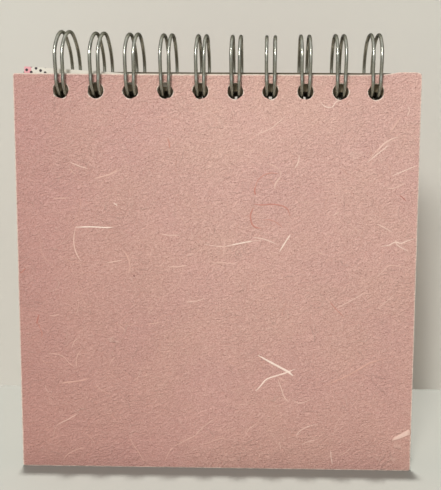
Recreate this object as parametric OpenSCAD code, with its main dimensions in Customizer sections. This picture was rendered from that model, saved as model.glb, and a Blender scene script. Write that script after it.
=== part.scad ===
// Square scrapbook with a fibre-paper cover, bound along its top edge with a twin-loop wire.
// It stands closed on the lower edges of its covers, with the front cover towards -Y.
// The loops' common centre line runs along X above the top edge, and every leaf turns about it.

/* [Covers] */
// Width of both covers
cover_w = 148; // [146:1:170]
// Height of both covers
cover_h = 148; // [120:1:200]
// Thickness of the grey board inside a cover
board_t = 1.6; // [1.2:0.1:2.0]
// Thickness of the fibre paper on a cover's outer face
cover_paper_t = 0.3; // [0.2:0.05:0.4]
// Thickness of the lining paper on a cover's inner face
liner_t = 0.2; // [0.1:0.05:0.3]
// Radius of a cover's four corners
cover_corner_r = 0.8; // [0.4:0.1:3]

/* [Pages] */
// Number of card pages
page_count = 20; // [10:1:21]
// Width of a page
page_w = 142; // [130:1:146]
// Height of a page
page_h = 147; // [110:1:148]
// Thickness of a page
page_t = 0.36; // [0.24:0.02:0.38]
// Air left between neighbouring leaves
leaf_gap = 0.28; // [0.18:0.01:0.3]
// How far the pages stand above the covers' top edge
page_rise = 1.3; // [0.5:0.1:1.6]

/* [Printed card] */
// Number of loops that the small printed card hangs on, from the left
card_loops = 4; // [3:1:5]
// Width of the printed card
card_w = 62; // [56:1:70]
// Height of the printed card
card_h = 42; // [30:1:60]
// Thickness of the printed card
card_t = 0.25; // [0.2:0.01:0.3]
// Distance from the card's hole row up to its top edge
card_margin = 7.9; // [6:0.1:9]
// Distance that the card reaches to the left of its hole row's middle
card_reach = 33.4; // [30:0.2:35]
// Angle at which the card hangs askew on the wire
card_tilt = 3.5; // [0:0.1:3.6]

/* [Punching] */
// Number of punched holes, and of loops
hole_count = 10; // [6:1:11]
// Distance between neighbouring holes
hole_pitch = 12.7; // [12:0.1:13.4]
// Diameter of a punched hole
hole_d = 5.8; // [5.7:0.1:6.6]
// Distance from a cover's hole row up to its top edge
cover_margin = 6.1; // [5:0.1:7]
// Distance of the hole row's middle to the right of the covers' middle
row_shift = 0.5; // [-1:0.1:1]

/* [Binding wire] */
// Outside diameter of the closed loops
loop_od = 26.4; // [26:0.1:28]
// Diameter of the wire
wire_d = 1.3; // [1.1:0.05:1.4]
// Distance between the two wires of a loop, centre to centre
loop_gap = 3.1; // [2.8:0.1:3.2]
// Distance between the two wires where they run into the loop's tip
tip_gap = 1.8; // [1.7:0.1:2.4]
// Bend radius where a wire turns from a loop into the link to the next loop
link_bend_r = 1.3; // [1.1:0.1:1.5]
// How far a loop's tip stops short of the bends at its base
tip_back = 1.9; // [1.8:0.1:2.4]
// Angle round the loop, from straight down, where the two wires start to draw together
taper_angle = 250; // [200:5:280]
// Air on both sides of the links, between the last page and the back cover
seam_gap = 0.2; // [0.15:0.01:0.3]

/* [Hidden] */
$fn = 64;

page_names = [for (i = [1:page_count]) str("page_", i < 10 ? "0" : "", i)];

// Thicknesses through the closed book, and where each leaf's front face lies
cover_t = cover_paper_t + board_t + liner_t;
page_step = page_t + leaf_gap;
seam_t = wire_d + 2 * seam_gap;
stack_t = 2 * cover_t + leaf_gap + card_t + page_count * page_step + seam_t;
front_paper_y = -stack_t / 2;
front_board_y = front_paper_y + cover_paper_t;
front_liner_y = front_board_y + board_t;
card_y = front_liner_y + liner_t + leaf_gap;
first_page_y = card_y + card_t + leaf_gap;
last_page_back_y = first_page_y + page_count * page_step - leaf_gap;
back_liner_y = last_page_back_y + seam_t;
back_board_y = back_liner_y + liner_t;
back_paper_y = back_board_y + board_t;

// The loops' centre line: the wire crosses the middle of a cover's thickness at its holes' centres
loop_r = (loop_od - wire_d) / 2;
function wire_drop(y) = sqrt(loop_r * loop_r - y * y);
cover_hole_z = cover_h - cover_margin;
axis_z = cover_hole_z + wire_drop(stack_t / 2 - cover_t / 2);

// The pages' holes lie midway between the highest and the lowest crossing of the wire
page_reach = max(-first_page_y, last_page_back_y);
page_hole_z = axis_z - (loop_r + wire_drop(page_reach)) / 2;
page_top_z = cover_h + page_rise;
card_hole_z = axis_z - wire_drop(card_y + card_t / 2);

// Places of the loops along X
first_hole_x = row_shift - (hole_count - 1) * hole_pitch / 2;
function hole_x(i) = first_hole_x + i * hole_pitch;
card_middle_x = (hole_x(0) + hole_x(card_loops - 1)) / 2;

// Balls that join two stretches of wire stand this little proud of it, all round
join_proud = 0.01;

// The seam: the links run midway between the last page and the back cover
loop_half = loop_gap / 2;
tip_half = tip_gap / 2;
link_y = last_page_back_y + seam_t / 2;
link_start = loop_half + link_bend_r;
link_end = hole_pitch - link_start;
link_stub = (link_end - link_start) / 2;
base_angle = asin(link_y / sqrt(loop_r * loop_r + link_bend_r * link_bend_r)) + atan(link_bend_r / loop_r);
tip_angle = 360 + base_angle - (tip_back + tip_half) / loop_r * 180 / PI;

// The taper: past taper_angle each wire's arc leans inwards about its own tangent
taper_sweep = tip_angle - taper_angle;
taper_reach = loop_r * (1 - cos(taper_sweep));
taper_tilt = asin((loop_half - tip_half) / taper_reach);
tip_lean = asin(sin(taper_sweep) * sin(taper_tilt));
tip_r = tip_half / cos(tip_lean);
tip_turn = taper_angle + atan2(sin(taper_sweep) * cos(taper_tilt), cos(taper_sweep));

// A point on a loop's centre line, and the way it runs there, at an angle from straight down
function ring_point(angle) = [0, loop_r * sin(angle), -loop_r * cos(angle)];
function ring_way(angle) = [0, cos(angle), sin(angle)];
function ring_inward(angle) = [0, -sin(angle), cos(angle)];
tip_point = ring_point(taper_angle)
    + loop_r * sin(taper_sweep) * ring_way(taper_angle)
    + taper_reach * cos(taper_tilt) * ring_inward(taper_angle);

// Least gap between a loop's tip and the bends at its base, measured on points of both
tip_points = [for (a = [0:5:180]) [tip_half * cos(a), -tip_back - tip_half + tip_half * sin(a)]];
bend_points = [for (a = [0:5:90]) [loop_half + link_bend_r * (1 - cos(a)), -link_bend_r * sin(a)]];
echo(least_tip_gap = min([for (p = tip_points) for (q = bend_points) norm(p - q)]) - wire_d);

// A plate outline with round corners, its lower left corner at the origin
module round_plate(w, h, r) {
    translate([r, 0]) square([w - 2 * r, h]);
    translate([0, r]) square([w, h - 2 * r]);
    for (x = [r, w - r])
        for (z = [r, h - r])
            translate([x, z]) circle(r);
}

// A row of punched holes, its middle at the origin
module hole_row(count) {
    for (i = [0:count - 1])
        translate([(i - (count - 1) / 2) * hole_pitch, 0]) circle(d = hole_d);
}

// Turns a flat outline upright, from its front face at y backwards by its thickness
module upright(y, t) {
    translate([0, y + t, 0]) rotate([90, 0, 0]) linear_extrude(t) children();
}

// One ply of a cover, with the whole row of holes
module cover_ply(y, t) {
    upright(y, t) difference() {
        translate([-cover_w / 2, 0]) round_plate(cover_w, cover_h, cover_corner_r);
        translate([row_shift, cover_hole_z]) hole_row(hole_count);
    }
}

module back_cover_board() {
    color("tan") cover_ply(back_board_y, board_t);
}

module back_cover_paper() {
    color("rosybrown") cover_ply(back_paper_y, cover_paper_t);
}

module back_cover_liner() {
    color("mistyrose") cover_ply(back_liner_y, liner_t);
}

module front_cover_board() {
    color("tan") cover_ply(front_board_y, board_t);
}

module front_cover_paper() {
    color("rosybrown") cover_ply(front_paper_y, cover_paper_t);
}

module front_cover_liner() {
    color("mistyrose") cover_ply(front_liner_y, liner_t);
}

// A dark card page, which hangs on the wire clear of the table
module page(i) {
    color("dimgray") upright(first_page_y + i * page_step, page_t) difference() {
        translate([-page_w / 2, page_top_z - page_h]) square([page_w, page_h]);
        translate([row_shift, page_hole_z]) hole_row(hole_count);
    }
}

// The small white card behind the front cover, askew on the first loops
module printed_card() {
    color("white") upright(card_y, card_t)
        translate([card_middle_x, card_hole_z]) rotate(-card_tilt) difference() {
            translate([-card_reach, card_margin - card_h]) square([card_w, card_h]);
            hole_row(card_loops);
        }
}

// A round wire bent about the Z axis, from the X axis through an angle
module bent_wire(r, angle) {
    rotate_extrude(angle = angle) translate([r, 0]) circle(d = wire_d);
}

// A stretch of one loop wire, from an angle through a sweep
module loop_arc(from, sweep) {
    rotate([0, 90, 0]) rotate([0, 0, from]) bent_wire(loop_r, sweep);
}

// A ball where two stretches of wire meet
module join() {
    sphere(d = wire_d + 2 * join_proud);
}

// The two arcs of one loop wire, side -1 left and +1 right: the true arc and the leaning one
module loop_arcs(side) {
    loop_arc(base_angle, taper_angle - base_angle);
    translate(ring_point(taper_angle)) {
        join();
        rotate(a = -side * taper_tilt, v = ring_way(taper_angle))
            translate(-ring_point(taper_angle)) loop_arc(taper_angle, taper_sweep);
    }
}

// The bend at the base of one loop wire, which turns it outwards into the link
module base_bend(side) {
    translate(ring_point(base_angle)) rotate([base_angle + 180, 0, 0]) {
        translate([side * loop_half, 0, 0]) join();
        translate([side * link_start, 0, 0]) {
            rotate([0, 0, side > 0 ? 90 : 0]) bent_wire(link_bend_r, 90);
            translate([0, link_bend_r, 0]) rotate([0, 90, 0]) join();
        }
    }
}

// One of the two wires of a loop
module loop_wire(side) {
    translate([side * loop_half, 0, 0]) loop_arcs(side);
    translate(tip_point + [side * tip_half, 0, 0]) join();
    base_bend(side);
}

// The round tip that joins the two wires of a loop
module loop_tip() {
    translate(tip_point) rotate([tip_turn, 0, 0]) translate([0, -tip_r * sin(tip_lean), 0])
        rotate([0, 0, tip_lean]) bent_wire(tip_r, 180 - 2 * tip_lean);
}

// A straight link along X at the loops' bases
module link(from_x, to_x) {
    translate(ring_point(base_angle) - link_bend_r * ring_way(base_angle) + [from_x, 0, 0])
        rotate([0, 90, 0]) cylinder(d = wire_d, h = to_x - from_x);
}

// The twin-loop wire: one wire bent into a row of double loops, closed behind the last page
module binding_wire() {
    color("silver") translate([0, 0, axis_z]) {
        for (i = [0:hole_count - 1])
            translate([hole_x(i), 0, 0]) {
                loop_wire(-1);
                loop_wire(1);
                loop_tip();
            }
        for (i = [0:hole_count - 2])
            translate([hole_x(i), 0, 0]) link(link_start, link_end);
        translate([hole_x(0), 0, 0]) link(-link_start - link_stub, -link_start);
        translate([hole_x(hole_count - 1), 0, 0]) link(link_start, link_start + link_stub);
    }
}

back_cover_board();
back_cover_paper();
back_cover_liner();
binding_wire();
front_cover_board();
front_cover_paper();
front_cover_liner();
printed_card();
for (i = [0:page_count - 1])
    page(i);
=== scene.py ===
import math

import bmesh
import bpy
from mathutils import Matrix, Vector, geometry, noise


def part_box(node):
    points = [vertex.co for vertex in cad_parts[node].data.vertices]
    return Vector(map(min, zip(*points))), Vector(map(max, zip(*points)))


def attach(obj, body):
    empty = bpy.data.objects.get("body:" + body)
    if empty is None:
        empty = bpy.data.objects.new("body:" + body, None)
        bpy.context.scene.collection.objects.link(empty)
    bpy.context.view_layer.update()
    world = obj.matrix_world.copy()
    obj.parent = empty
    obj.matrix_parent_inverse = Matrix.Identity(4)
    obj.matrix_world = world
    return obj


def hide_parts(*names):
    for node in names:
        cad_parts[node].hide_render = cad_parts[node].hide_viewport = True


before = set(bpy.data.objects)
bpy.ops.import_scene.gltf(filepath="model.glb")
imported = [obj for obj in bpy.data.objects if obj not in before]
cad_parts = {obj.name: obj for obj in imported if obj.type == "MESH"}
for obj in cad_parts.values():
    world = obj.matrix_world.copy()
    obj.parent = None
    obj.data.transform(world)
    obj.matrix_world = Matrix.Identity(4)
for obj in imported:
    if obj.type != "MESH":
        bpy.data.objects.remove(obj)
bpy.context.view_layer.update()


# Camera. It stands about 26 cm in front of the cover, right of its middle and above half its height, and
# looks slightly down. The picture is an off-centre crop, which is why the lens is shifted.
MM = 0.001
picture_height = 490
focal_pixels = 696.97
crop_pixels = (-33.44, -4.37)
camera_place = (18.143, -265.683, 113.678)
camera_turns = (84.1905, -0.4152, 0.9751)
camera_data = bpy.data.cameras.new("camera")
camera_data.sensor_width = 36.0
camera_data.lens = focal_pixels / picture_height * camera_data.sensor_width
camera_data.shift_x = crop_pixels[0] / picture_height
camera_data.shift_y = crop_pixels[1] / picture_height
camera_data.clip_start = 0.01
camera = bpy.data.objects.new("camera", camera_data)
camera.location = Vector(camera_place) * MM
camera.rotation_euler = [math.radians(turn) for turn in camera_turns]
bpy.context.scene.collection.objects.link(camera)
bpy.context.scene.camera = camera


# Back cover board. Solid greyboard pressed from waste paper: buff grey, full of short flecks, with the
# layers of its pulp showing along the cut edges and round the punched holes.
def paint(red, green, blue):
    """A colour given as it looks on paper, 0 to 255, as the light that a shader works with."""
    light = [(part / 255 + 0.055) / 1.055 for part in (red, green, blue)]
    return tuple([part ** 2.4 for part in light] + [1.0])


def put(tree, kind, inputs=None, **settings):
    """Adds a node to a tree, sets it up, and fills or joins its inputs."""
    made = tree.nodes.new(kind)
    for key, value in settings.items():
        setattr(made, key, value)
    for key, value in (inputs or {}).items():
        if isinstance(value, bpy.types.NodeSocket):
            tree.links.new(value, made.inputs[key])
        else:
            made.inputs[key].default_value = value
    return made


def reckon(tree, operation, first, second=0.0):
    """One step of arithmetic in a node tree."""
    return put(tree, "ShaderNodeMath", {0: first, 1: second}, operation=operation).outputs[0]


def spread(tree, value, low, high, to_low=0.0, to_high=1.0):
    """Stretches the part of a value between low and high over a new range, and holds it there."""
    inputs = {0: value, 1: low, 2: high, 3: to_low, 4: to_high}
    return put(tree, "ShaderNodeMapRange", inputs).outputs[0]


def cloud(tree, place, scale, detail=2.0, distortion=0.0):
    """Soft random cloudiness at a place on the object, with scale in clouds per metre."""
    inputs = {"Vector": place, "Scale": scale, "Detail": detail, "Distortion": distortion}
    return put(tree, "ShaderNodeTexNoise", inputs).outputs[0]


def axes(tree, place):
    """The three parts of a place or direction: across, in depth and up."""
    return put(tree, "ShaderNodeSeparateXYZ", {0: place}).outputs


def draw_out(tree, place, scale):
    """A place whose patterns are drawn out along the axes with a small scale."""
    return put(tree, "ShaderNodeMapping", {"Vector": place, "Scale": scale}).outputs[0]


def blend_colours(tree, share, first, second):
    """Lays the second colour over the first one, by a share from 0 to 1."""
    inputs = {0: share, 6: first, 7: second}
    return put(tree, "ShaderNodeMix", inputs, data_type="RGBA").outputs[2]


def tint(tree, colour, mask, strength, over):
    """Lays another colour over a colour where a mask is, by its strength from 0 to 1."""
    return blend_colours(tree, reckon(tree, "MULTIPLY", mask, strength), colour, over)


def paint_shade_in_dips(tree, colour, ridges, strength, over):
    """Paints shade into the dips between ridges, as another colour laid over a colour there."""
    return blend_colours(tree, spread(tree, ridges, 0.0, 1.0, strength, 0.0), colour, over)


def start_effect(name, sizes, results):
    """Starts an effect that several finishes share: a node group with named sizes and results."""
    group = bpy.data.node_groups.new(name, "ShaderNodeTree")
    group.interface.new_socket("Place", in_out="INPUT", socket_type="NodeSocketVector")
    for label, value in sizes.items():
        socket = group.interface.new_socket(label, in_out="INPUT", socket_type="NodeSocketFloat")
        socket.default_value = value
    for label in results:
        group.interface.new_socket(label, in_out="OUTPUT", socket_type="NodeSocketFloat")
    given = group.nodes.new("NodeGroupInput").outputs
    result = group.nodes.new("NodeGroupOutput").inputs
    return group, given, result


def use_effect(tree, group, place, **sizes):
    """Places a shared effect in a finish, with that finish's own sizes."""
    made = put(tree, "ShaderNodeGroup", node_tree=group)
    tree.links.new(place, made.inputs["Place"])
    for label, value in sizes.items():
        made.inputs[label.replace("_", " ")].default_value = value
    return made.outputs


paper_grain, given, result = start_effect(
    "paper grain", {"Worm Scale": 620.0, "Tooth Scale": 2400.0}, ["Height", "Worm", "Tooth"])
worm = cloud(paper_grain, given["Place"], given["Worm Scale"], distortion=0.9)
worm_ridges = spread(paper_grain, worm, 0.38, 0.62)
tooth = cloud(paper_grain, given["Place"], given["Tooth Scale"])
tooth_ridges = spread(paper_grain, tooth, 0.36, 0.64)
worm_share = reckon(paper_grain, "MULTIPLY", worm_ridges, 0.72)
tooth_share = reckon(paper_grain, "MULTIPLY", tooth_ridges, 0.28)
paper_grain.links.new(reckon(paper_grain, "ADD", worm_share, tooth_share), result["Height"])
paper_grain.links.new(worm_ridges, result["Worm"])
paper_grain.links.new(tooth_ridges, result["Tooth"])

flecks, given, result = start_effect(
    "flecks", {"Fleck Scale": 900.0, "Fleck Size": 0.3, "Share": 0.3}, ["Mask"])
cells = put(flecks, "ShaderNodeTexVoronoi", {"Vector": given["Place"], "Scale": given["Fleck Scale"]})
chances = put(flecks, "ShaderNodeSeparateColor", {0: cells.outputs["Color"]})
rough_edge = reckon(flecks, "MULTIPLY", cloud(flecks, given["Place"], 3000.0), 0.16)
reach = reckon(flecks, "ADD", cells.outputs["Distance"], rough_edge)
own_size = spread(flecks, chances.outputs[1], 0.0, 1.0, 0.6, 1.2)
size = reckon(flecks, "MULTIPLY", given["Fleck Size"], own_size)
spot = spread(flecks, reckon(flecks, "SUBTRACT", size, reach), -0.12, -0.04)
chosen = reckon(flecks, "LESS_THAN", chances.outputs[0], given["Share"])
flecks.links.new(reckon(flecks, "MULTIPLY", spot, chosen), result["Mask"])


def start_finish(name, gloss):
    """A new finish, with its node tree, its shader and the place on the object that its patterns follow."""
    finish = bpy.data.materials.new(name)
    finish.use_nodes = True
    tree = finish.node_tree
    shader = tree.nodes["Principled BSDF"]
    shader.inputs["Specular IOR Level"].default_value = gloss
    return finish, tree, shader, tree.nodes.new("ShaderNodeTexCoord").outputs["Object"]


def end_finish(tree, shader, colour, roughness, height, depth, strength):
    """Joins a finish to its shader. The hills of its height pattern are as deep as given, in metres."""
    tree.links.new(colour, shader.inputs["Base Color"])
    tree.links.new(roughness, shader.inputs["Roughness"])
    bump = put(tree, "ShaderNodeBump", {"Height": height, "Distance": depth, "Strength": strength})
    tree.links.new(bump.outputs[0], shader.inputs["Normal"])


def facing(tree):
    """How far a surface faces in depth: -1 to the front, 1 to the back."""
    return axes(tree, tree.nodes.new("ShaderNodeTexCoord").outputs["Normal"])[1]


def cut_side(tree):
    """1 on a sheet's cut edges and 0 on its two faces."""
    return spread(tree, reckon(tree, "ABSOLUTE", facing(tree)), 0.6, 0.8, 1.0, 0.0)


greyboard, tree, shader, place = start_finish("greyboard", 0.25)
grain = use_effect(tree, paper_grain, place, Worm_Scale=900.0, Tooth_Scale=3200.0)
fleck = use_effect(tree, flecks, place, Fleck_Scale=700.0, Fleck_Size=0.36, Share=0.35)
pulp = cloud(tree, place, 60.0, 4.0)
board_colour = blend_colours(tree, pulp, paint(196, 187, 172), paint(216, 207, 192))
board_colour = tint(tree, board_colour, fleck["Mask"], 0.4, paint(128, 122, 114))
layers = cloud(tree, draw_out(tree, place, (0.06, 1.0, 0.06)), 3200.0)
edge_side = cut_side(tree)
layer_lines = reckon(tree, "MULTIPLY", spread(tree, layers, 0.42, 0.6), edge_side)
board_colour = tint(tree, board_colour, layer_lines, 0.55, paint(164, 154, 140))
dullness = spread(tree, grain["Tooth"], 0.0, 1.0, 0.82, 0.96)
height = reckon(tree, "ADD", grain["Height"], reckon(tree, "MULTIPLY", layers, edge_side))
end_finish(tree, shader, board_colour, dullness, height, 0.00006, 0.7)
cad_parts["back_cover_board"].material_slots[0].material = greyboard


# Back cover lining. A plain sheet of blush endpaper pasted over the inside of the board and punched with it.
# Its face is smooth and lightly ribbed by the felt it dried on.
lining, tree, shader, place = start_finish("lining_paper", 0.3)
grain = use_effect(tree, paper_grain, place, Worm_Scale=1100.0, Tooth_Scale=3600.0)
ribs = cloud(tree, draw_out(tree, place, (1.0, 1.0, 0.08)), 1500.0, 1.0)
pulp = cloud(tree, place, 45.0, 3.0)
lining_colour = blend_colours(tree, pulp, paint(226, 202, 192), paint(236, 216, 206))
lining_colour = tint(tree, lining_colour, grain["Worm"], 0.22, paint(210, 182, 172))
dullness = spread(tree, grain["Tooth"], 0.0, 1.0, 0.7, 0.85)
height = reckon(tree, "ADD", grain["Height"], ribs)
end_finish(tree, shader, lining_colour, dullness, height, 0.00004, 0.6)
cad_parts["back_cover_liner"].material_slots[0].material = lining


# Back cover paper. Handmade paper dyed pink, with a wormy felt mark, tiny dark specks and pale plant fibres
# in the pulp. Shade is painted into the dips of its grain, and towards the left as seen from the front and
# towards its foot. It is pasted on the board and cut and punched with it, so its undyed core shows round the
# cut edge.
sunk_strands, given, result = start_effect(
    "sunk strands", {"Strand Scale": 60.0, "Strand Width": 0.012, "Share": 0.5}, ["Mask"])
swirl = cloud(sunk_strands, given["Place"], given["Strand Scale"], 1.0, 1.6)
from_line = reckon(sunk_strands, "ABSOLUTE", reckon(sunk_strands, "SUBTRACT", swirl, 0.5))
on_line = spread(sunk_strands, from_line, 0.0, given["Strand Width"], 1.0, 0.0)
broken = cloud(sunk_strands, given["Place"], 140.0, 1.0)
kept = spread(sunk_strands, broken, given["Share"], 0.72)
sunk_strands.links.new(reckon(sunk_strands, "MULTIPLY", on_line, kept), result["Mask"])

fibre_paper, tree, shader, place = start_finish("fibre_paper", 0.25)
felt_place = put(tree, "ShaderNodeMapping",
                 {"Vector": place, "Rotation": (0.0, math.radians(-25), 0.0), "Scale": (1.5, 1.0, 1.0)},
                 vector_type="TEXTURE").outputs[0]
grain = use_effect(tree, paper_grain, felt_place, Worm_Scale=1300.0, Tooth_Scale=3000.0)
speck = use_effect(tree, flecks, place, Fleck_Scale=600.0, Fleck_Size=0.2, Share=0.45)
strand = use_effect(tree, sunk_strands, place, Strand_Scale=70.0, Strand_Width=0.01, Share=0.52)
dye = spread(tree, cloud(tree, place, 40.0, 3.0), 0.35, 0.65)
pink = blend_colours(tree, dye, paint(229, 189, 180), paint(230, 193, 180))
on_sheet = axes(tree, place)
# Painted shade: the pink darkens towards the left as seen from the front, and towards the foot of the sheet.
painted_shade_left = spread(tree, on_sheet[0], -0.074, 0.0, 0.46, 0.0)
painted_shade_low = spread(tree, on_sheet[2], 0.0, 0.13, 0.36, 0.0)
pink = blend_colours(tree, painted_shade_left, pink, paint(176, 126, 123))
pink = blend_colours(tree, painted_shade_low, pink, paint(178, 122, 108))
# Painted shade in the dips of the worm and tooth grain.
pink = paint_shade_in_dips(tree, pink, grain["Worm"], 0.12, paint(170, 114, 102))
pink = paint_shade_in_dips(tree, pink, grain["Tooth"], 0.48, paint(162, 106, 96))
pink = tint(tree, pink, speck["Mask"], 0.42, paint(128, 80, 72))
pink = tint(tree, pink, strand["Mask"], 0.3, paint(232, 203, 188))
cut = put(tree, "ShaderNodeAttribute", attribute_name="cut_edge").outputs["Fac"]
worn = spread(tree, cloud(tree, place, 420.0, 3.0), 0.3, 0.62, 0.5, 1.0)
pink = tint(tree, pink, cut, worn, paint(246, 232, 217))
wrinkled = spread(tree, cloud(tree, place, 55.0), 0.35, 0.68, 0.6, 0.8)
wrinkles = reckon(tree, "MULTIPLY", grain["Worm"], wrinkled)
felted = reckon(tree, "ADD", wrinkles, reckon(tree, "MULTIPLY", grain["Tooth"], 0.3))
fuzz = reckon(tree, "ADD", felted, reckon(tree, "MULTIPLY", strand["Mask"], 0.7))
dullness = spread(tree, grain["Height"], 0.0, 1.0, 0.95, 0.8)
end_finish(tree, shader, pink, dullness, fuzz, 0.00033, 1.0)

hole_count = 10
hole_pitch = 12.7
row_shift = 0.5
hole_radius = 2.9
hole_height = 141.9
hole_row = [(number - (hole_count - 1) / 2) * hole_pitch + row_shift for number in range(hole_count)]
sheet_half = 74.0
sheet_height = 148.0
sheet_thickness = 0.3
sheet_corner = 0.8
cut_step = 1.2
punch_slack = 0.05
top_zone = 2.0
felt_step = 1.5
felt_clearance = math.sqrt(17.0)
felt_margin = 1.0
felt_top_margin = 1.4
felt_wave = 0.03
felt_dimple = 0.02
edge_waver = 0.05
edge_rings = ((0.0, -sheet_thickness, 1.0), (0.0, -0.13, 1.0), (0.1, -0.03, 0.8), (0.5, 0.0, 0.0))


def round_point(middle, turn, radius):
    """A point on a circle in the sheet, by its turn from the right."""
    return (middle[0] + math.cos(turn) * radius, middle[1] + math.sin(turn) * radius)


def cut_line():
    """Points round the cut sheet, against the clock as seen from outside, with small round corners."""
    points = []
    right = sheet_half - sheet_corner
    high = sheet_height - sheet_corner
    bends = (((right, sheet_corner), -90), ((right, high), 0),
             ((-right, high), 90), ((-right, sheet_corner), 180))
    for (middle, first_turn), (next_middle, next_turn) in zip(bends, bends[1:] + bends[:1]):
        turns = [math.radians(first_turn + step * 22.5) for step in range(5)]
        points += [round_point(middle, turn, sheet_corner) for turn in turns]
        start = Vector(points[-1])
        end = Vector(round_point(next_middle, math.radians(next_turn), sheet_corner))
        parts = round((end - start).length / cut_step)
        points += [tuple(start.lerp(end, part / parts)) for part in range(1, parts)]
    return points


def hole_line(middle, height, steps):
    """Points round one punched hole, with the clock, so that the sheet lies on the left as along the cut."""
    turns = [-math.tau * step / steps for step in range(steps)]
    return [round_point((middle, height), turn, hole_radius) for turn in turns]


def top_rise(across, profile):
    """How far the cut paper stands above the board's top edge there."""
    for (left, low), (right, high) in zip(profile, profile[1:]):
        if left <= across <= right:
            share = (across - left) / (right - left)
            return low + (high - low) * (3 - 2 * share) * share * share
    return 0.0


def within(spot, line):
    """Whether a spot lies inside a closed line."""
    crossings = 0
    for start, end in zip(line, line[1:] + line[:1]):
        if (start.y > spot.y) != (end.y > spot.y):
            crossings += spot.x < start.x + (spot.y - start.y) / (end.y - start.y) * (end.x - start.x)
    return crossings % 2 == 1


def closed_edges(lines):
    """The edges that close each line, with the points of all the lines numbered on."""
    edges = []
    first = 0
    for line in lines:
        count = len(line)
        edges += [(first + number, first + (number + 1) % count) for number in range(count)]
        first += count
    return edges


def fill_sheet(flat, lines, holes, height):
    """Faces that fill a flat sheet inside its cut, which is the first line, and outside its holes."""
    filled = geometry.delaunay_2d_cdt(flat, closed_edges(lines), [], 1, 1e-5, True)
    faces = []
    for face in filled[2]:
        middle = sum((filled[0][corner] for corner in face), Vector((0.0, 0.0))) / len(face)
        punched = any(math.dist(middle, (hole, height)) < hole_radius - punch_slack for hole in holes)
        above = middle.y > sheet_height - top_zone and not within(middle, flat[:len(lines[0])])
        if not punched and not above:
            faces.append([filled[3][corner][0] for corner in face])
    return faces


def make_piece(name, corners, faces, finish):
    """A mesh with its finish on, as an object of the scene."""
    mesh = bpy.data.meshes.new(name)
    mesh.from_pydata(corners, [], faces)
    mesh.materials.append(finish)
    piece = bpy.data.objects.new(name, mesh)
    bpy.context.scene.collection.objects.link(piece)
    return piece


def smooth_sheet(sheet):
    """Turns a sheet's faces outwards and shades them smooth, with sharp cut edges."""
    work = bmesh.new()
    work.from_mesh(sheet.data)
    bmesh.ops.recalc_face_normals(work, faces=work.faces)
    work.to_mesh(sheet.data)
    work.free()
    sheet.data.shade_smooth()
    sheet.data.set_sharp_from_angle(angle=math.radians(60))


def lay_paper(name, holes, profile, place_on, seed):
    """The sheet of fibre paper on a cover: rounded cut edges, punched holes and a wavy felted face."""
    corners = []
    cut_marks = []
    faces = []
    inner_lines = []
    outer_lines = []
    for line in [cut_line()] + [hole_line(middle, hole_height, 36) for middle in holes]:
        flow = []
        for before, after in zip(line[-1:] + line[:-1], line[1:] + line[:1]):
            way = (Vector(after) - Vector(before)).normalized()
            flow.append(Vector((-way.y, way.x)))
        rings = []
        for inset, depth, mark in edge_rings:
            ring = []
            for point, inward in zip(line, flow):
                waver = edge_waver * noise.noise(Vector((point[0] * 0.4, point[1] * 0.4, seed)))
                spot = Vector(point) + inward * (inset + waver)
                if point[1] > sheet_height - 0.5:
                    spot.y += top_rise(point[0], profile)
                ring.append(len(corners))
                corners.append((spot.x, spot.y, depth))
                cut_marks.append(mark)
            rings.append(ring)
        for lower, upper in zip(rings, rings[1:]):
            for start, end in closed_edges([line]):
                faces.append((lower[start], lower[end], upper[end], upper[start]))
        outer_lines.append(rings[0])
        inner_lines.append(rings[-1])
    felt_spots = []
    columns = int(sheet_half * 2 / felt_step)
    rows = int(sheet_height / felt_step)
    for column in range(1, columns):
        for row in range(1, rows):
            across = -sheet_half + column * sheet_half * 2 / columns
            up = row * sheet_height / rows
            clear = all(math.dist((across, up), (middle, hole_height)) > felt_clearance for middle in holes)
            level = felt_margin < up < sheet_height - felt_top_margin
            if clear and level and abs(across) < sheet_half - felt_margin:
                felt_spots.append((across, up))
    for lines, extra, outward in ((inner_lines, felt_spots, True), (outer_lines, [], False)):
        used = [number for line in lines for number in line]
        flat = [Vector(corners[number][:2]) for number in used] + [Vector(spot) for spot in extra]
        for spot in extra:
            wave = noise.noise(Vector((spot[0] * 0.11, spot[1] * 0.11, seed + 3.0)))
            dimple = noise.noise(Vector((spot[0] * 0.45, spot[1] * 0.45, seed + 7.0)))
            used.append(len(corners))
            corners.append((spot[0], spot[1], felt_wave * wave + felt_dimple * dimple))
            cut_marks.append(0.0)
        for face in fill_sheet(flat, lines, holes, hole_height):
            turned = [used[corner] for corner in face]
            faces.append(turned if outward else turned[::-1])
    sheet = make_piece(name, [place_on(*corner) for corner in corners], faces, fibre_paper)
    sheet.data.attributes.new("cut_edge", "FLOAT", "POINT").data.foreach_set("value", cut_marks)
    smooth_sheet(sheet)
    return sheet


back_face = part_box("back_cover_paper")[1].y


def on_back(across, up, out):
    """A place on the back cover's outer face, with millimetres across to the right as seen from behind."""
    return Vector((-across * MM, back_face + out * MM, up * MM))


back_profile = ((-74.0, 0.05), (-30.0, -0.15), (25.0, 0.1), (74.0, -0.05))
back_sheet = lay_paper("back_fibre_sheet", [-middle for middle in hole_row], back_profile, on_back, 21.0)
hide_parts("back_cover_paper")
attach(back_sheet, "back_cover")


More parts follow.
